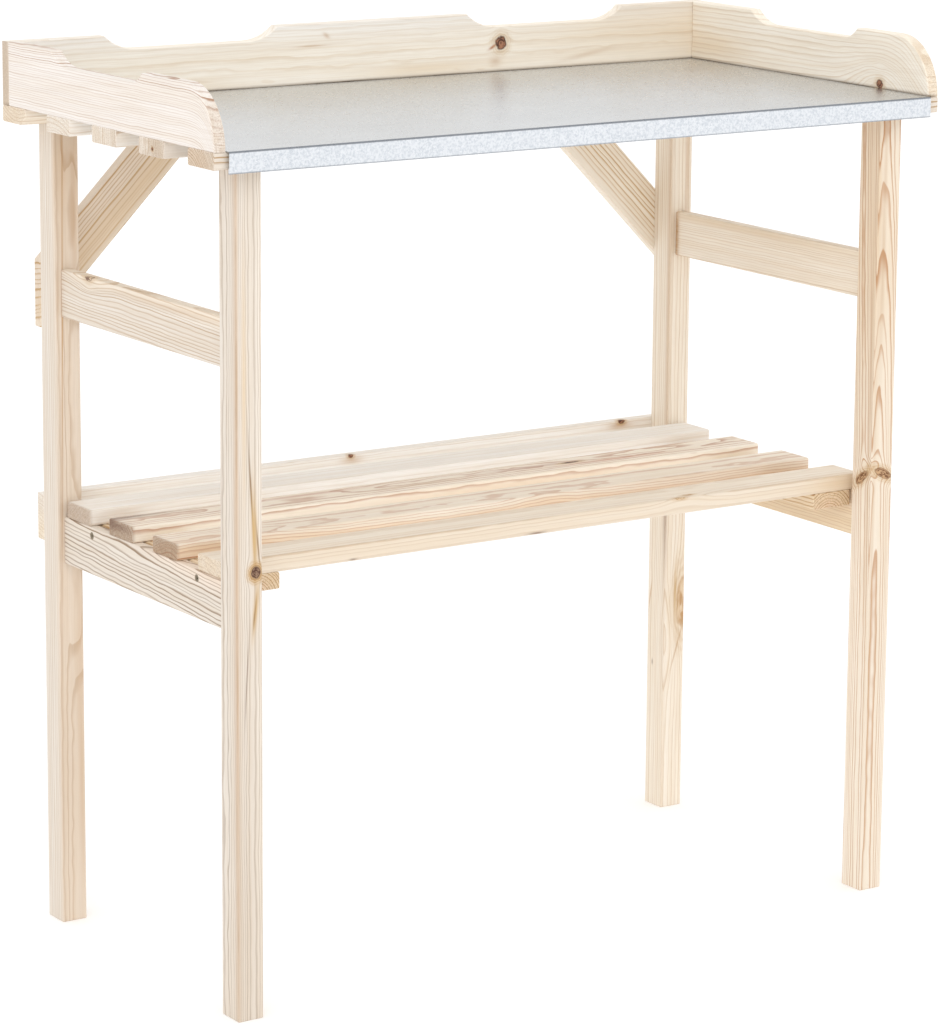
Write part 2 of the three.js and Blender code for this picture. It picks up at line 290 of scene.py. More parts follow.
def parted(graph, place, mark):
    """The grain flowing round a knot on both sides."""
    size = tuple(PARTING * radius for radius in mark["size"])
    fade = fade_from(graph, place, mark["at"], size, mark["turn"])
    away = graph.vector("SUBTRACT", place, mark["at"])
    push = graph.vector("MULTIPLY", away, (0.0, -PARTED_SHARE, -PARTED_SHARE))
    return graph.vector("MULTIPLY_ADD", fade, push, place)


def stray(graph, place, offset, along, across, detail):
    """A random push of up to half a unit each way, which changes over those lengths."""
    spot = graph.place(place, offset, scale=(1 / along, 1 / across, 1 / across))
    return graph.vector("SUBTRACT", graph.noise(spot, detail, "Color"), (0.5, 0.5, 0.5))


def flowing_grain(graph, place, wobble, bends, knots, seed):
    """The point whose rings show here, once the grain has strayed, bent and parted."""
    drift = stray(graph, place, (seed * 3.1, seed * 1.7, 0), DRIFT_ALONG, DRIFT_ACROSS, 2.0)
    flow = graph.vector("MULTIPLY_ADD", drift, (0, 2 * wobble, 2 * wobble), place)
    ripple = stray(graph, place, (seed * 2.3, seed, 0), RIPPLE_ALONG, RIPPLE_ACROSS, 1.0)
    flow = graph.vector("MULTIPLY_ADD", ripple, (0, wobble, wobble), flow)
    for at, size, lift in bends:
        flow = bent(graph, flow, at, size, lift)
    for mark in knots:
        flow = parted(graph, flow, mark)
    return flow


def knot(at, size, turn=(0, 0, 0), rim=KNOT_DARK, middle=KNOT_BROWN, halo=0.5):
    """A knot's place, size and turn in its board, its two colours and the strength of its stain."""
    return {"at": at, "size": size, "turn": turn, "rim": rim, "middle": middle, "halo": halo}


def streak(at, size, tone=RESIN, strength=0.6, turn=(0, 0, 0), blend="MIX"):
    """A streak of colour along the fibres, which hides the ring lines under it."""
    mark = {"at": at, "size": size, "tone": tone, "strength": strength, "turn": turn}
    return {**mark, "blend": blend}


def tint(at, size, tone, strength):
    """A stain that lets the ring lines show through."""
    return streak(at, size, tone, strength, blend="MULTIPLY")


def ring_count(graph, place, pith, ring, lean, seed):
    """How many years a point lies from the pith, and the distance in millimetres."""
    along = graph.vector("DOT_PRODUCT", place, (1, 0, 0))
    leaned = graph.vector("MULTIPLY_ADD", along, (0, *lean), place)
    across = graph.vector("MULTIPLY", leaned, (0, 1, 1))
    radius = graph.vector("DISTANCE", across, (0, *pith))
    slow = graph.math("MULTIPLY_ADD", radius, 0.3 / ring, seed * 7.3)
    wander = graph.math("MULTIPLY", graph.noise_along(slow), RING_WANDER)
    return graph.math("ADD", graph.math("DIVIDE", radius, ring), wander), radius


def latewood(graph, years, radius, accent, seed):
    """0 in the pale wood of spring, rising to 1 at the hard dark line that ends each year. Lines
    between the two distances of accent are twice as strong."""
    part = graph.math("FRACT", years)
    rise = graph.step(part, LINE_START, LINE_FULL)
    fall = graph.step(part, LINE_END, 1.0, 1.0, 0.0)
    year = graph.math("ADD", graph.math("FLOOR", years), seed)
    chance = graph.node("TexWhiteNoise", {"W": year}, "Value", noise_dimensions="1D")
    strength = graph.math("MULTIPLY_ADD", chance, LINE_SPREAD, WEAKEST_LINE)
    line = graph.math("MULTIPLY", graph.math("MULTIPLY", rise, fall), strength)
    if accent is None:
        return line
    near, far = accent
    beyond = graph.step(radius, near - 1, near)
    within = graph.step(radius, far, far + 1, 1.0, 0.0)
    inside = graph.math("MULTIPLY", beyond, within)
    return graph.math("MULTIPLY", line, graph.math("ADD", inside, 1.0))


def end_grain(graph, grain):
    """1 on a sawn end, 0 on the long faces."""
    normal = graph.coordinates("Normal")
    facing = graph.math("ABSOLUTE", graph.vector("DOT_PRODUCT", normal, tuple(grain[0])))
    return graph.step(facing, 0.55, 0.9)


def add_streak(graph, colour, place, fibre, mark):
    """A streak or a tint, broken up by the fibres."""
    fade = fade_from(graph, place, mark["at"], mark["size"], mark["turn"])
    shown = graph.math("MULTIPLY_ADD", fibre, STREAK_FIBRE, STREAK_BASE)
    broken = graph.math("MULTIPLY", fade, shown)
    share = graph.math("MULTIPLY", broken, mark["strength"])
    return graph.mix(share, colour, mark["tone"], mark["blend"])


def add_knot(graph, colour, place, mark, seed):
    """A branch cut through: a broken dark rim, a brown heart with its own rings, and stained wood
    with a few close rings round it. reach is 1 at the edge of the knot."""
    near = graph.place(place, mark["at"], mark["turn"], mark["size"], "TEXTURE")
    patch = graph.noise(graph.place(near, (seed, 0, 0), scale=(KNOT_PATCH,) * 3), 3.0)
    reach = graph.math("MULTIPLY_ADD", patch, KNOT_WANDER, graph.vector("LENGTH", near))
    reach = graph.math("SUBTRACT", reach, KNOT_WANDER / 2)
    waves = graph.math("SINE", graph.math("MULTIPLY_ADD", reach, KNOT_RIPPLES, seed))

    stain = graph.math("MULTIPLY", graph.step(reach, *STAIN_EDGES, 1.0, 0.0), mark["halo"])
    colour = graph.mix(stain, colour, OCHRE)
    around = graph.math("MULTIPLY", graph.math("MULTIPLY_ADD", waves, 0.5, 0.5), stain)
    colour = graph.mix(around, colour, OCHRE, "MULTIPLY")

    mottle = graph.math("MULTIPLY_ADD", waves, 0.08, patch)
    heart = graph.mix(graph.step(mottle, *MOTTLE_EDGES), mark["middle"], mark["rim"])
    gaps = graph.step(patch, *GAP_EDGES, GAP_SHARE, 1.0)
    edge = graph.math("MULTIPLY", graph.step(reach, *RIM_EDGES), gaps)
    body = graph.mix(edge, heart, mark["rim"])
    return graph.mix(graph.step(reach, *BODY_EDGES, 1.0, 0.0), colour, body)


def timber(
    node,
    grain,
    pith,
    ring,
    sap,
    heart,
    reach,
    late,
    seed,
    lean=(0.0, 0.0),
    wobble=1.6,
    late_tone=LATE,
    accent=None,
    bends=(),
    streaks=(),
    knots=(),
):
    """Dresses one board. pith is where the tree's middle lies across the board and ring the width
    of a year. The wood turns from heart to sap colour between the two distances of reach from the
    pith. late is the strength of the ring lines, lean the slope of the pith along the board, and
    wobble how many millimetres the grain strays. Bends, streaks and knots are placed from the
    middle of the board, along the grain and then across it both ways."""
    graph = Graph(node)
    place = grain_space(graph, node, grain)
    flow = flowing_grain(graph, place, wobble, bends, knots, seed)
    years, radius = ring_count(graph, flow, pith, ring, lean, seed)
    line = latewood(graph, years, radius, accent, seed)
    fine = graph.noise(graph.place(place, (0, seed, 0), scale=FIBRE_SCALE))
    broad = graph.noise(graph.place(flow, (seed, 0, 0), scale=CLOUD_SCALE))

    middle = graph.math("ADD", radius, HEART_SPREAD / 2)
    age = graph.math("MULTIPLY_ADD", broad, -HEART_SPREAD, middle)
    colour = graph.mix(graph.step(age, *reach), heart, sap)
    cloud = graph.step(broad, *CLOUD_EDGES, CLOUD_SHARE, 0.0)
    colour = graph.mix(cloud, colour, CREAM, "MULTIPLY")
    colour = graph.mix(graph.math("MULTIPLY", line, late), colour, late_tone, "MULTIPLY")
    fibre = graph.step(fine, *FIBRE_EDGES, FIBRE_SHARE, 0.0)
    colour = graph.mix(fibre, colour, FAWN, "MULTIPLY")
    for mark in streaks:
        colour = add_streak(graph, colour, place, fine, mark)
    for index, mark in enumerate(knots):
        colour = add_knot(graph, colour, place, mark, seed + index)

    sawn = end_grain(graph, grain)
    pores = graph.noise(graph.place(place, (0, 0, seed), scale=PORE_SCALE), 3.0)
    end_tone = graph.mix(graph.step(pores, *PORE_EDGES), PORE, PORE_WALL)
    colour = graph.mix(sawn, colour, graph.mix(PORE_SHARE, colour, end_tone, "MULTIPLY"))

    relief = graph.math("MULTIPLY", fine, FIBRE_RELIEF)
    relief = graph.math("MULTIPLY_ADD", line, LINE_RELIEF, relief)
    pitted = graph.math("MULTIPLY", sawn, pores)
    relief = graph.math("MULTIPLY_ADD", pitted, SAWN_RELIEF, relief)
    depth = {"Height": relief, "Strength": RELIEF_STRENGTH, "Distance": RELIEF * MM}
    rough = graph.math("MULTIPLY_ADD", sawn, SAWN_ROUGHNESS, ROUGHNESS)
    rough = graph.math("MULTIPLY_ADD", fine, FIBRE_ROUGHNESS, rough)
    inputs = {"Base Color": colour, "Roughness": rough, "IOR": WOOD_IOR}
    dress(node, graph.finish(inputs, graph.node("Bump", depth)))


def dress_legs():
    """The four legs. Marks at -12.5 are on a leg's left face, and marks at -14 on its front."""
    timber(
        "leg_front_left", ALONG_Z, pith=(40, 22), ring=2.3, sap=FAWN, heart=CREAM,
        reach=(34, 52), late=0.6, seed=1, late_tone=GREY_LATE,
        streaks=(
            streak((0, -12.5, -13), (600, 2.2, 4.5), RESIN, 0.5),
            streak((92, 2, -14), (50, 0.9, 4), DARK_SEAM, 0.9, (0, 0, -0.06)),
            streak((60, 5, -14), (38, 3.0, 4), OCHRE, 0.9, (0, 0, -0.03)),
            streak((44, 9, -14), (22, 0.8, 4), SEAM, 0.8, (0, 0, -0.1)),
            streak((-8, 6, -14), (24, 2.4, 4), OCHRE, 0.9, (0, 0, 0.12)),
            streak((-12, 5, -14), (14, 0.8, 4), SEAM, 0.7, (0, 0, 0.12)),
            streak((-70, -3, -14), (40, 0.7, 3), BARK, 0.6, (0, 0, 0.06)),
            streak((190, -5, -14), (110, 2.5, 3), TAN, 0.7),
            tint((-300, 0, -14), (220, 40, 3), FAWN, 0.35),
        ),
        knots=(knot((25, 6.2, -14), (5.6, 5.0, 12), middle=KNOT_GREY, halo=0.8),),
    )
    timber(
        "leg_back_left", ALONG_Z, pith=(8, -36), ring=3.2, sap=FAWN, heart=DUN,
        reach=(27, 37), late=0.45, seed=2,
        bends=(
            ((290, 6, -14), (70, 9, 12), (0, 0, 7)),
            ((-60, 5, -14), (80, 9, 12), (0, 0, 6)),
        ),
        streaks=(
            streak((200, -5.5, -14), (260, 0.8, 3), RESIN, 0.8, (0, 0, 0.012)),
            streak((290, 7, -14), (60, 3, 3), RESIN, 0.3),
            # Partly tan wood, partly painted shade under the top, high on the front face.
            tint((350, 0, -14), (80, 40, 3), TAN, 0.45),
            tint((-230, 0, -14), (170, 40, 3), FAWN, 0.4),
            streak((-200, 9, -14), (150, 3, 3), RESIN, 0.35),
        ),
    )
    timber(
        "leg_front_right", ALONG_Z, pith=(-5, -5), ring=2.0, sap=CREAM, heart=CREAM,
        reach=(8, 16), late=0.8, seed=3, wobble=1.0, late_tone=AMBER_LATE,
        bends=(((390, -6, -14), (270, 80, 80), (0, 0, -15)),),
        streaks=(
            streak((260, -5, -14), (120, 2.5, 3), RESIN, 0.35),
            tint((270, -12, 0), (170, 3, 40), HONEY, 0.45),
            tint((240, 0, -14), (150, 40, 3), HONEY, 0.25),
            tint((0, 0, -14), (900, 40, 3), FAWN, 0.25),
            streak((-120, -9, -14), (250, 1.6, 3), RESIN, 0.3),
            streak((120, -12.5, -9), (240, 3, 2), RESIN, 0.35),
        ),
        knots=(
            knot((29, -12.5, 0), (11, 6, 4.2), (0, 0.9, 0), KNOT_AMBER, KNOT_PALE, 0.4),
            knot((34, 2, -14), (11, 4.4, 6), (0, 0, -1.12), KNOT_AMBER, KNOT_PALE, 0.4),
        ),
    )
    timber(
        "leg_back_right", ALONG_Z, pith=(-20, -34), ring=3.2, sap=CREAM, heart=CREAM,
        reach=(18, 34), late=0.4, seed=4,
        bends=(
            ((-165, 13, -14), (46, 11, 14), (0, 8, 8)),
            ((-195, -9, -14), (50, 16, 16), (0, -6, -6)),
        ),
        streaks=(
            streak((160, -12.5, -12), (330, 2.0, 3.5), RESIN, 0.45),
            streak((300, 7, -14), (120, 2.4, 3), RESIN, 0.5),
            streak((-60, -12.5, -13), (60, 1.6, 3), BARK, 0.45),
            streak((-150, 1, -14), (24, 1.6, 3), OCHRE, 0.8),
            streak((-208, 4, -14), (24, 0.9, 3), RESIN, 0.7, (0, 0, 0.3)),
            streak((-156, -12.5, 10), (14, 3, 0.9), RESIN, 0.7, (0, 0.15, 0)),
            streak((-226, -12.5, 5), (3, 3, 1.2), BARK, 0.6),
        ),
        knots=(knot((-163, 14, -14), (29, 11, 9), (0, 0, 0), RESIN, TAN, 0.3),),
    )


def dress_side_rails():
    """The four rails between the legs of each end."""
    timber(
        "side_rail_upper_left", ALONG_Y, pith=(4, 78), ring=3.5, sap=FAWN, heart=CREAM,
        reach=(52, 68), late=0.85, seed=5, lean=(0.0, -0.028),
        bends=(((97, 6, 24), (32, 60, 24), (0, 0, 9)),),
        streaks=(streak((-60, 6, 17), (120, 5, 4), RESIN, 0.25),),
        knots=(knot((97, 6, 22), (7, 6, 3.5), rim=BARK, middle=TAN, halo=0.3),),
    )
    timber(
        "side_rail_upper_right", ALONG_Y, pith=(8, -70), ring=2.6, sap=CREAM, heart=CREAM,
        reach=(66, 80), late=0.45, seed=6, lean=(0.0, 0.01),
        streaks=(
            # Partly orange wood, partly painted contact shade, at the rail's back end against the
            # leg.
            streak((148, 6, 0), (4, 6, 40), RESIN, 0.9),
            streak((40, 6, 18), (160, 5, 4), TAN, 0.7),
        ),
    )
    timber(
        "side_rail_lower_left", ALONG_Y, pith=(12, 90), ring=4.2, sap=FAWN, heart=ROSE,
        reach=(60, 80), late=1.1, seed=7, lean=(0.0, -0.06),
        wobble=2.8, late_tone=GREY_LATE,
        bends=(
            ((24, 6, 8), (48, 60, 9), (0, 0, 4)),
            ((24, 6, 22), (48, 60, 9), (0, 0, -4)),
        ),
    )
    timber(
        "side_rail_lower_right", ALONG_Y, pith=(20, 66), ring=2.8, sap=HONEY, heart=PEACH,
        reach=(50, 80), late=0.5, seed=8,
        streaks=(streak((-60, 6, 16), (80, 6, 6), TAN, 0.6),),
    )


def dress_back():
    """The rail and the braces behind the back legs, and the waved board above them."""
    timber(
        "back_rail", ALONG_X, pith=(12, -60), ring=3.2, sap=WHITE, heart=PALE,
        reach=(50, 78), late=0.35, seed=9,
        streaks=(
            streak((296, -6, 17), (14, 5, 4), RESIN, 0.7),
            streak((-24, -6, 17), (12, 5, 4), RESIN, 0.5),
        ),
        knots=(knot((298, -6, 21), (4, 4, 2.6)), knot((-25, -6, 21), (3, 4, 2))),
    )
    timber(
        "brace_left", RISING, pith=(-12, -76), ring=3.7, sap=DUN, heart=CREAM,
        reach=(70, 90), late=1.3, seed=10, late_tone=YELLOW_LATE,
        streaks=(streak((0, -6, 13), (500, 10, 9), TAN, 0.75),),
    )
    timber(
        "brace_right", FALLING, pith=(-14, -80), ring=4.2, sap=CREAM, heart=PALE,
        reach=(70, 90), late=1.4, seed=11, late_tone=YELLOW_LATE,
        streaks=(streak((0, -6, 2), (500, 10, 7), CREAM, 0.9),),
    )
    timber(
        "back_board", ALONG_X, pith=(35, -22), ring=3.6, sap=WHITE, heart=PALE,
        reach=(46, 70), late=0.25, seed=12, wobble=2.2, late_tone=YELLOW_LATE,
        streaks=(
            # Painted shadow along the board's foot, where it meets the sheet.
            streak((0, -6, -29), (900, 8, 2.2), JOINT_SHADOW, 1.0),
            streak((-391, 0, 0), (3, 40, 90), WORN_GREY, 0.7),
            streak((140, -6, -18), (7, 5, 5), RESIN, 0.4),
            tint((330, -6, 4), (130, 8, 40), HONEY, 0.35),
            tint((-240, -6, -22), (70, 8, 6), HONEY, 0.5),
            tint((60, -6, -21), (70, 8, 5), HONEY, 0.5),
            streak((-70, -6, 8), (16, 5, 0.8), RESIN, 0.7),
            streak((-53, -6, 17), (4, 5, 2), RESIN, 0.5, (0, 0.6, 0)),
            streak((137, -6, -4), (5, 5, 1.4), RUSSET, 0.9, (0, -0.5, 0)),
            streak((250, -6, -17), (34, 5, 2.5), RESIN, 0.3, (0, -0.16, 0)),
        ),
        knots=(knot((146.6, -2, -0.7), (6.8, 30, 7.2), middle=KNOT_RED, halo=0.3),),
    )


def dress_end_boards():
    """The waved boards at the ends of the top, with the grain rising at their round fronts."""
    timber(
        "end_board_left", ALONG_Y, pith=(10, -84), ring=2.1, sap=CHALK, heart=CHALK,
        reach=(50, 90), late=0.5, seed=13,
        wobble=1.8, late_tone=PINK_LATE, accent=(101, 140),
        bends=(((-204, 6, -8), (26, 60, 60), (0, 0, 46)),),
    )
    timber(
        "end_board_right", ALONG_Y, pith=(8, -84), ring=5.2, sap=PALE, heart=PALE,
        reach=(60, 100), late=0.4, seed=14, wobble=2.4,
        bends=(
            ((-204, 6, -8), (42, 60, 60), (0, 0, 46)),
            ((-113, 6, -22), (40, 60, 22), (0, 0, -30)),
        ),
        streaks=(
            # Painted shadow along the board's foot, where it meets the sheet.
            streak((0, 6, -29), (900, 8, 2.2), JOINT_SHADOW, 1.0),
            tint((150, 6, -14), (60, 8, 14), HONEY, 0.5),
        ),
        knots=(knot((-113.6, 4, -24), (5, 20, 4.6), halo=0.3),),
    )


def dress_top_slats():
    """Each slat's pith, ring width and colours, front slat first. Only their ends show much."""
    boards = (
        ((30, -30), 2.2, FAWN, DUN, 1.0),
        ((60, 4), 2.6, FAWN, WHITE, 0.9),
        ((-70, 6), 2.8, WHITE, FAWN, 0.8),
        ((12, -60), 3.4, WHITE, WHITE, 0.4),
        ((-8, 44), 3.0, CREAM, CREAM, 0.5),
    )
    for index, (pith, ring, sap, heart, late) in enumerate(boards, 1):
        marks = (knot((-389, -2, -1), (12, 1.6, 1.6)),) if index == 2 else ()
        timber(
            f"top_slat_{index}", ALONG_X, pith=pith, ring=ring, sap=sap, heart=heart,
            reach=(38, 66), late=late, seed=14 + index, knots=marks,
        )


def dress_shelf():
    """The shelf slats, front one first, and the cleats that carry them."""
    worn_end = streak((-354, 0, 0), (3, 90, 40), WORN, 0.75)
    dark_end = streak((-354, 0, 0), (3, 90, 40), WORN_DARK, 0.85)
    timber(
        "shelf_slat_1", ALONG_X, pith=(16, -58), ring=3.4, sap=CREAM, heart=CREAM,
        reach=(40, 70), late=0.35, seed=21,
        bends=(((146, -20, 7), (30, 14, 12), (0, 0, -5)),),
        streaks=(
            tint((0, -23, 0), (900, 4, 40), FAWN, 0.5),
            streak((-24, -22, -6), (9, 3, 1), BARK, 0.8),
            streak((-220, -22, -6), (4, 3, 1), BARK, 0.7),
            # Painted shadow of the front right leg on the slat's front, at its right end.
            streak((330, -22, 0), (40, 6, 10), TAN, 0.8),
        ),
        knots=(
            knot((138, -21, 7.5), (6, 3, 1.6), rim=RESIN, middle=TAN, halo=0.3),
            knot((152, -14, 7.5), (6, 2.4, 2), rim=RESIN, middle=TAN, halo=0.3),
        ),
    )
    timber(
        "shelf_slat_2", ALONG_X, pith=(-6, -50), ring=2.9, sap=CREAM, heart=PEACH,
        reach=(50, 55), late=0.45, seed=22,
        wobble=2.0, late_tone=RED_LATE, accent=(36, 56.5),
        bends=(
            ((44, -22, 6), (45, 14, 16), (0, 0, -4)),
            ((-330, -22, 6), (120, 30, 16), (0, 0, -6)),
        ),
        streaks=(dark_end, tint((230, -22, 0), (150, 4, 20), RESIN, 0.25)),
    )
    timber(
        "shelf_slat_3", ALONG_X, pith=(5, -14), ring=3.4, sap=PALE, heart=CREAM,
        reach=(22, 34), late=0.8, seed=23, wobble=2.6, late_tone=BROWN_LATE,
        bends=(
            ((-160, 4, 7.5), (60, 10, 12), (0, 0, 6)),
            ((240, 8, 7.5), (90, 9, 12), (0, 0, 7)),
        ),
        streaks=(
            dark_end,
            streak((-352, 18, 7), (60, 8, 10), BARK, 0.75),
            streak((-352, 4, 3), (10, 20, 4), BARK, 0.6),
            streak((-150, 12, 7.5), (60, 4, 4), BROWN_LATE, 0.7),
            streak((-40, -4, 7.5), (50, 3, 4), RESIN, 0.5),
            streak((100, 4, 7.5), (50, 4, 4), MAUVE, 0.6),
            streak((190, -6, 7.5), (60, 4, 4), CLAY, 0.6),
            streak((60, -22, -2), (200, 6, 5), PEACH, 0.9),
        ),
        knots=(knot((142, 2, 7.5), (10, 2.4, 4), rim=KNOT_DARK, middle=BARK, halo=0.6),),
    )
    timber(
        "shelf_slat_4", ALONG_X, pith=(44, 46), ring=3.2, sap=WHITE, heart=WHITE,
        reach=(50, 72), late=0.25, seed=24,
        streaks=(worn_end,),
    )
    for side, seed in (("left", 25), ("right", 26)):
        timber(
            f"shelf_cleat_{side}", ALONG_Y, pith=(4, -16), ring=2.6, sap=HONEY, heart=PEACH,
            reach=(10, 26), late=1.1, seed=seed,
        )


dress_legs()
dress_side_rails()
dress_back()
dress_end_boards()
dress_top_slats()
dress_shelf()


# ---- galvanised sheet ---------------------------------------------------------------------------

# Heights of the sheet's top and of the lip's lower edge, and how far ahead the lip's face lies.
SHEET_TOP = 770.8
LIP_BOTTOM = 751.8
LIP_AHEAD = 193.25

ZINC_DARK = srgb(199, 202, 205)
ZINC_LIGHT = srgb(222, 225, 228)
# The lip's own bluer copy of the zinc colours, for a painted glint.
LIP_GLINT_DARK = srgb(197, 202, 208)
LIP_GLINT_LIGHT = srgb(220, 223, 227)
# Painted shade for the fold and the lip's lower edge, and its strengths.
CREASE = srgb(112, 116, 124)
FOLD_SHADE = 0.8
HEM_SHADE = 0.6

# Where each change of colour starts and ends: below the sheet's top, above the lip's lower edge,
# and behind the lip's face.
FOLD_BELOW = (1.9, 1.1)
HEM_ABOVE = (0.4, 1.5)
CREASE_BEHIND = (2.2, 1.2)
LIP_BEHIND = (1.2, 0.2)

# Spangles, clouds, and grains of the lip's painted glint, in a metre.
SPANGLES = 420.0
CLOUDS = 14.0
GRAINS = 480.0


def creases(graph, ahead, height):
    """Painted shade in lines where the sheet folds down and where its lip ends, on the lip only."""
    fold = graph.step(height, *(SHEET_TOP - gap for gap in FOLD_BELOW), 0.0, FOLD_SHADE)
    hem = graph.step(height, *(LIP_BOTTOM + gap for gap in HEM_ABOVE), HEM_SHADE, 0.0)
    on_lip = graph.step(ahead, *(LIP_AHEAD - gap for gap in CREASE_BEHIND))
    return graph.math("MULTIPLY", graph.math("ADD", fold, hem), on_lip)


def galvanised():
    """Zinc with a fine spangle, shown more on the turned-down lip by a painted glint."""
    graph = Graph("galvanised")
    place = graph.coordinates()
    cells = graph.node("TexVoronoi", {"Vector": place, "Scale": SPANGLES}, "Color")
    spangle = graph.vector("DOT_PRODUCT", cells, (0.34, 0.33, 0.33))
    cloud = graph.noise(graph.scaled(place, CLOUDS), 3.0)
    tone = graph.math("MULTIPLY_ADD", spangle, 0.5, graph.math("MULTIPLY", cloud, 0.5))
    top = graph.mix(tone, ZINC_DARK, ZINC_LIGHT)

    # A painted glint on the lip: bright grains over the spangle.
    grains = graph.noise(graph.scaled(place, GRAINS), 3.0)
    glint = graph.step(graph.math("MULTIPLY_ADD", spangle, 0.35, grains), 0.45, 0.85)
    lip = graph.mix(glint, LIP_GLINT_DARK, LIP_GLINT_LIGHT)
    ahead = graph.vector("DOT_PRODUCT", place, (0, -1 / MM, 0))
    height = graph.vector("DOT_PRODUCT", place, (0, 0, 1 / MM))
    on_lip = graph.step(ahead, *(LIP_AHEAD - gap for gap in LIP_BEHIND))
    colour = graph.mix(on_lip, top, lip)
    # Painted shade along the fold and the lip's lower edge.
    colour = graph.mix(creases(graph, ahead, height), colour, CREASE)

    rough = graph.math("MULTIPLY_ADD", spangle, 0.12, 0.24)
    bump = graph.node("Bump", {"Height": spangle, "Strength": 0.12, "Distance": 0.1 * MM})
    inputs = {"Base Color": colour, "Metallic": 1.0, "Roughness": rough}
    return graph.finish(inputs, bump)


dress("worktop_sheet", galvanised())


# ---- screws -------------------------------------------------------------------------------------

# Every screw's sizes in millimetres. Only its length differs from one to another.
HEAD_RADIUS = 3.4
HEAD_SINK = 2.0
SHANK_RADIUS = 1.55
TIP_LENGTH = 5.0
TIP_RADIUS = 0.1
RECESS_ARM = 1.9
RECESS_HALF_WIDTH = 0.45
RECESS_DEPTH = 1.3
RECESS_TAPER = 0.6
SIDES = 24

STEEL_DARK = srgb(112, 100, 84)
STEEL_LIGHT = srgb(160, 148, 126)
STEEL_CLOUDS = 900.0


def screw_metal():
    """Dull plated steel, a little uneven."""
    graph = Graph("screw_metal")
    cloud = graph.noise(graph.scaled(graph.coordinates(), STEEL_CLOUDS))
    colour = graph.mix(cloud, STEEL_DARK, STEEL_LIGHT)
    rough = graph.math("MULTIPLY_ADD", cloud, 0.2, 0.25)
    return graph.finish({"Base Color": colour, "Metallic": 1.0, "Roughness": rough})


def circle(form, radius, height):
    """A ring of corners round the axis of a screw."""
    angles = (2 * math.pi * step / SIDES for step in range(SIDES))
    return [form.verts.new((radius * math.cos(a), radius * math.sin(a), height)) for a in angles]


def cross(form, scale, height):
    """The twelve corners of the cross recess."""
    arm = RECESS_ARM * scale
    half = RECESS_HALF_WIDTH * scale
    points = []
    for cosine, sine in ((1, 0), (0, 1), (-1, 0), (0, -1)):
        for x, y in ((arm, -half), (arm, half), (half, half)):
            points.append((x * cosine - y * sine, x * sine + y * cosine, height))
    return [form.verts.new(point) for point in points]


def wall(form, upper, lower):
    """Faces between two rings with the same number of corners."""
    for index in range(len(upper)):
        after = (index + 1) % len(upper)
        form.faces.new((upper[index], upper[after], lower[after], lower[index]))


def screw_mesh(length, material):
    """A countersunk screw with its head at the origin, facing up, in metres."""
    form = bmesh.new()
    rim = circle(form, HEAD_RADIUS, 0.0)
    neck = circle(form, SHANK_RADIUS, -HEAD_SINK)
    end = circle(form, SHANK_RADIUS, TIP_LENGTH - length)
    point = circle(form, TIP_RADIUS, -length)
    wall(form, rim, neck)
    wall(form, neck, end)
    wall(form, end, point)
    form.faces.new(point)
    mouth = cross(form, 1.0, 0.0)
    floor = cross(form, RECESS_TAPER, -RECESS_DEPTH)
    wall(form, mouth, floor)
    form.faces.new(floor)
    border = [edge for edge in form.edges if len(edge.link_faces) == 1]
    bmesh.ops.triangle_fill(form, edges=border, use_beauty=True, normal=(0, 0, 1))
    bmesh.ops.recalc_face_normals(form, faces=form.faces)
    bmesh.ops.scale(form, vec=(MM, MM, MM), verts=form.verts)
    mesh = bpy.data.meshes.new(f"screw_{length:.0f}")
    form.to_mesh(mesh)
    form.free()
    mesh.materials.append(material)
    return mesh


def head_end(node):
    """Where the head of a CAD screw is, which way it faces, and how long the screw is."""
    low, high = (Vector(corner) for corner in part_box(node))
    size = high - low
    middle = (low + high) / 2
    axis = max(range(3), key=lambda index: size[index])
    across = [index for index in range(3) if index != axis]
    mesh_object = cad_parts[node]
    corners = [mesh_object.matrix_world @ corner.co for corner in mesh_object.data.vertices]
    widest = max(corners, key=lambda corner: max(abs(corner[i] - middle[i]) for i in across))
    facing = Vector((0, 0, 0))
    facing[axis] = 1 if widest[axis] > middle[axis] else -1
    return middle + facing * size[axis] / 2, facing, size[axis] / MM


def add_screws():
    """A screw with a cross recess in place of every plain one."""
    steel = screw_metal()
    meshes = {}
    for node in sorted(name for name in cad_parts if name.startswith("screw_")):
        place, facing, length = head_end(node)
        length = round(length, 1)
        if length not in meshes:
            meshes[length] = screw_mesh(length, steel)
        piece = bpy.data.objects.new(f"fine_{node}", meshes[length])
        turn = facing.to_track_quat("Z", "Y").to_matrix().to_4x4()
        piece.matrix_world = Matrix.Translation(place) @ turn
        scene.collection.objects.link(piece)
        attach(piece, BODY)
        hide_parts(node)


add_screws()


# ---- floor, light and camera --------------------------------------------------------------------

FLOOR_HALF = 30.0
FLOOR_WHITE = 0.9
FLOOR_GLOW = 0.16

# The white all round, how much brighter it is ahead of the bench, which way that is, and between
# which parts of that way it brightens.
SKY_LEVEL = 1.0
SKY_GAIN = 0.2
SKY_AHEAD = (-0.35, -0.94, 0.0)
SKY_EDGES = (-0.1, 0.9)

LENS = 143.24
LENS_SHIFT = -0.0947
CAMERA_PLACE = (-2.0715, -3.1045, 1.2260)
YAW = 0.58673
PITCH = -0.19860
ROLL = 0.00742


def add_floor():
    """A white floor, a little bright in itself, so that it ends in the white all round."""
    mesh = bpy.data.meshes.new("floor")
    half = FLOOR_HALF
    corners = ((-half, -half, 0), (half, -half, 0), (half, half, 0), (-half, half, 0))
    mesh.from_pydata(corners, [], [(0, 1, 2, 3)])
    floor = bpy.data.objects.new("floor", mesh)
    scene.collection.objects.link(floor)
    inputs = {"Base Color": (FLOOR_WHITE,) * 3, "Roughness": 0.9}
    glow = {"Emission Color": (1.0, 1.0, 1.0), "Emission Strength": FLOOR_GLOW}
    mesh.materials.append(Graph("floor").finish({**inputs, **glow}))


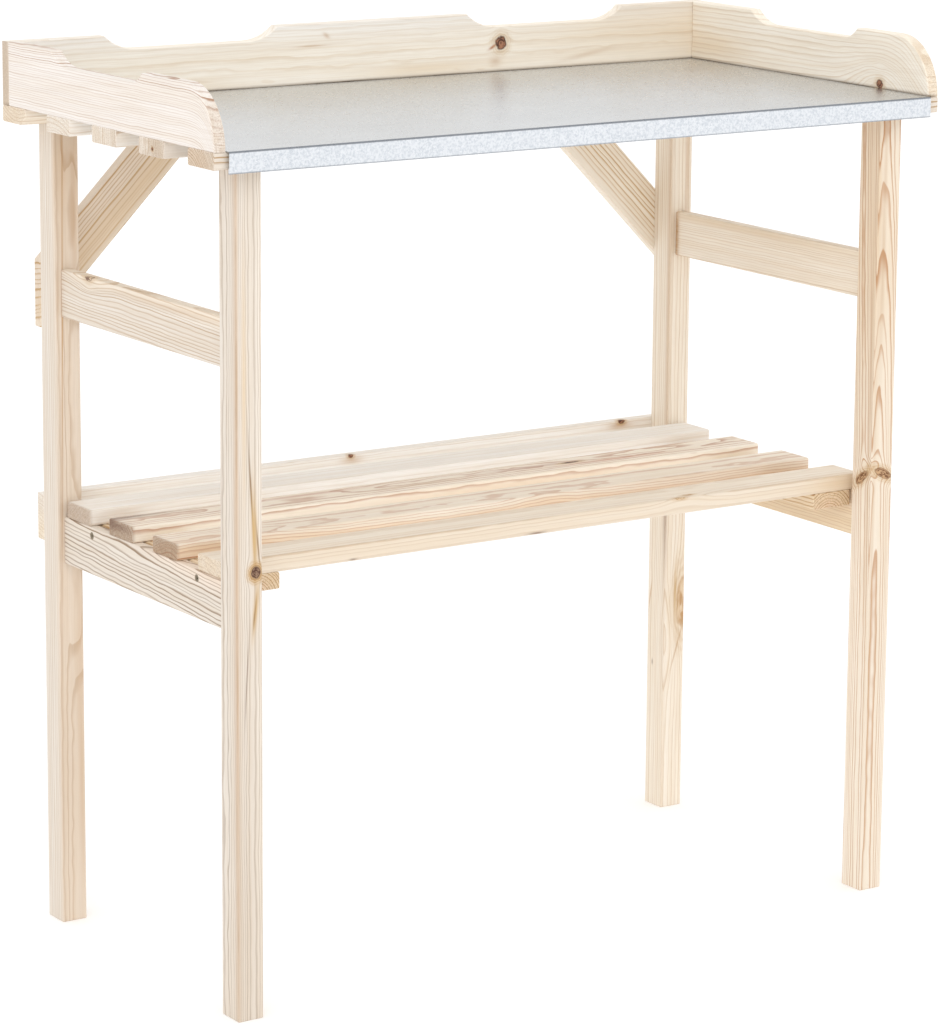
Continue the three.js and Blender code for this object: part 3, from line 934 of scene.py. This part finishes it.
def add_world():
    """White all round, brighter on the side that the bench faces."""
    world = bpy.data.worlds.new("studio")
    world.use_nodes = True
    tree = world.node_tree
    direction = tree.nodes.new("ShaderNodeTexCoord").outputs["Generated"]
    ahead = tree.nodes.new("ShaderNodeVectorMath")
    ahead.operation = "DOT_PRODUCT"
    ahead.inputs[1].default_value = SKY_AHEAD
    tree.links.new(direction, ahead.inputs[0])
    gain = tree.nodes.new("ShaderNodeMapRange")
    gain.interpolation_type = "SMOOTHSTEP"
    gain.inputs["From Min"].default_value = SKY_EDGES[0]
    gain.inputs["From Max"].default_value = SKY_EDGES[1]
    gain.inputs["To Min"].default_value = SKY_LEVEL
    gain.inputs["To Max"].default_value = SKY_LEVEL + SKY_GAIN
    tree.links.new(ahead.outputs["Value"], gain.inputs["Value"])
    background = tree.nodes["Background"]
    tree.links.new(gain.outputs["Result"], background.inputs["Strength"])
    background.inputs["Color"].default_value = (1.0, 1.0, 1.0, 1.0)
    scene.world = world


def add_softbox(name, location, aim, size, power):
    """A soft rectangular lamp, in metres and watts, turned towards aim."""
    light = bpy.data.lights.new(name, "AREA")
    light.shape = "RECTANGLE"
    light.size = size[0]
    light.size_y = size[1]
    light.energy = power
    lamp = bpy.data.objects.new(name, light)
    lamp.location = location
    lamp.rotation_euler = (Vector(aim) - Vector(location)).to_track_quat("-Z", "Y").to_euler()
    scene.collection.objects.link(lamp)


def add_camera():
    """The camera, in front of the bench, to its left and a little above it."""
    camera = bpy.data.cameras.new("camera")
    camera.lens = LENS
    camera.shift_y = LENS_SHIFT
    camera.clip_end = 100.0
    holder = bpy.data.objects.new("camera", camera)
    turn = Matrix.Rotation(-YAW, 4, "Z") @ Matrix.Rotation(math.pi / 2 + PITCH, 4, "X")
    turn = turn @ Matrix.Rotation(ROLL, 4, "Z")
    holder.matrix_world = Matrix.Translation(CAMERA_PLACE) @ turn
    scene.collection.objects.link(holder)
    scene.camera = holder


add_floor()
add_world()
add_softbox("key", location=(-2.5, -3.0, 3.2), aim=(0, 0, 0.5), size=(2.5, 2.5), power=22)
add_softbox("fill", location=(2.1, -3.4, 0.25), aim=(0, -0.2, 0.7), size=(2.4, 0.8), power=1.5)
add_camera()
scene.view_settings.view_transform = "Standard"

bpy.context.view_layer.update()
